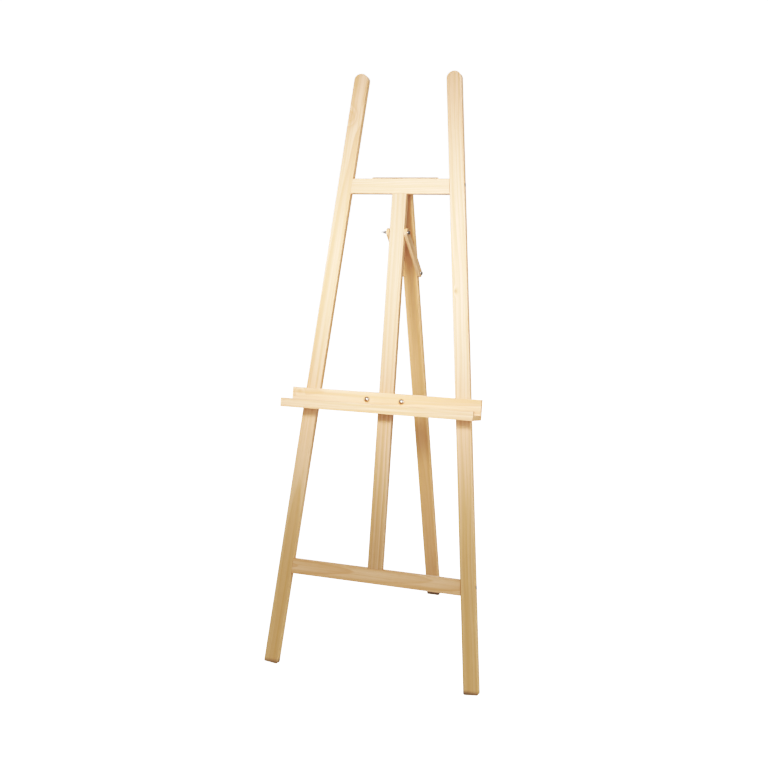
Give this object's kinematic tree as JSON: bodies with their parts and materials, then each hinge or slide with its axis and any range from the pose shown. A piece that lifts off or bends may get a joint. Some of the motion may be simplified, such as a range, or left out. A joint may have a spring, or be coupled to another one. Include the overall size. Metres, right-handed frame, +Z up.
{
  "type": "wooden artist easel",
  "caption": "A-frame wooden easel with a centre mast, a sliding tray clamped to the mast, a hinged rear leg and a pair of struts that sets its spread.",
  "frame": {"origin": "middle of the footprint on the floor, under the bounding box's centre", "axes": "+Z up, +X to the easel's right as seen from the front, +Y to the rear; the easel faces -Y"},
  "size_m": [0.6272, 0.624, 1.6247],
  "materials": {
    "pine": "bare sanded pine, matte",
    "rear_pine": "bare sanded pine, slightly darker, matte",
    "dowel_beech": "bare beech dowel",
    "bright_steel": "zinc-plated steel, satin",
    "dark_steel": "dark plated steel"
  },
  "bodies": {
    "front_frame": {"left_leg": "pine", "right_leg": "pine", "top_rail": "pine", "bottom_rail": "pine", "mast": "pine", "rail_screws": "dark_steel", "rail_dowels": "dowel_beech", "mast_screws": "dark_steel", "hinge_fixed_leaves": "bright_steel", "hinge_pins": "bright_steel", "hinge_fixed_screws": "bright_steel", "strut_bolt": "dark_steel", "strut_bolt_washers": "bright_steel"},
    "strut_nut": {"strut_wing_nut": "bright_steel"},
    "rear_leg": {"back_leg": "rear_pine", "head_block": "rear_pine", "head_dowels": "dowel_beech", "hinge_moving_leaves": "bright_steel", "hinge_moving_screws": "bright_steel"},
    "strut_pair": {"left_strut": "rear_pine", "right_strut": "rear_pine", "pivot_bolt": "dark_steel", "pivot_nut": "dark_steel", "pivot_washers": "bright_steel"},
    "tray": {"tray_back_board": "pine", "tray_ledge": "pine", "tray_lip": "pine", "tray_screws": "dark_steel", "tray_dowels": "dowel_beech", "clamp_bar": "pine", "carriage_bolts": "bright_steel", "clamp_washers": "bright_steel"},
    "left_clamp_nut": {"left_clamp_wing_nut": "bright_steel"},
    "right_clamp_nut": {"right_clamp_wing_nut": "bright_steel"}
  },
  "joints": [
    {"name": "rear_leg_fold", "type": "hinge", "parent": "front_frame", "child": "rear_leg", "pos_m": [0, 0.01826, 1.33482], "axis": [-1, 0, 0], "range_deg": [0, 23]},
    {"name": "strut_swing", "type": "hinge", "parent": "front_frame", "child": "strut_pair", "pos_m": [0, -0.02703, 1.19646], "axis": [-1, 0, 0], "range_deg": [0, 43.65]},
    {"name": "tray_slide", "type": "slide", "parent": "front_frame", "child": "tray", "axis": [0, 0.225, 0.9744], "range_m": [-0.45, 0.28]},
    {"name": "left_clamp_nut_turn", "type": "hinge", "parent": "tray", "child": "left_clamp_nut", "pos_m": [-0.05, -0.10514, 0.74034], "axis": [0, 0.9744, -0.225], "continuous": true},
    {"name": "right_clamp_nut_turn", "type": "hinge", "parent": "tray", "child": "right_clamp_nut", "pos_m": [0.05, -0.10514, 0.74034], "axis": [0, 0.9744, -0.225], "continuous": true},
    {"name": "strut_nut_turn", "type": "hinge", "parent": "front_frame", "child": "strut_nut", "pos_m": [-0.036, -0.02703, 1.19646], "axis": [-1, 0, 0], "continuous": true}
  ],
  "couplings": [
    {"joint": "strut_swing", "follows": "rear_leg_fold", "ratio": 1.8848}
  ]
}
